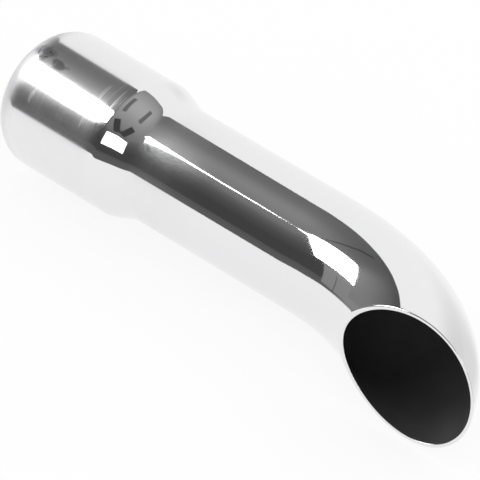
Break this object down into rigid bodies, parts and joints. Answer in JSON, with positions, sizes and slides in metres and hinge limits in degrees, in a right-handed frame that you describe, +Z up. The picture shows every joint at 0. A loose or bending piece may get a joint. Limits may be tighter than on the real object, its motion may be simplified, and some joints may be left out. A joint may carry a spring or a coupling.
{
  "type": "exhaust tip",
  "caption": "Chromed slip-on exhaust tip: an expanded, rolled-in inlet end, a straight tube, and an outlet bent to one side and cut off flush to a long oval mouth.",
  "frame": {"origin": "on the surface that the tip lies on, under the middle of its box", "axes": "+X along the tube from the inlet to the outlet, level; +Z up; the bend and its mouth turn to -Y. The tip lies on its side as it comes to rest, so the tube's own axis drops 2.0 degrees towards the outlet and the bend is turned up 5.2 degrees"},
  "size_m": [0.3144, 0.081, 0.0687],
  "materials": {
    "chrome": "polished chrome plate"
  },
  "bodies": {
    "root": {"tip_tube": "chrome"}
  },
  "joints": []
}
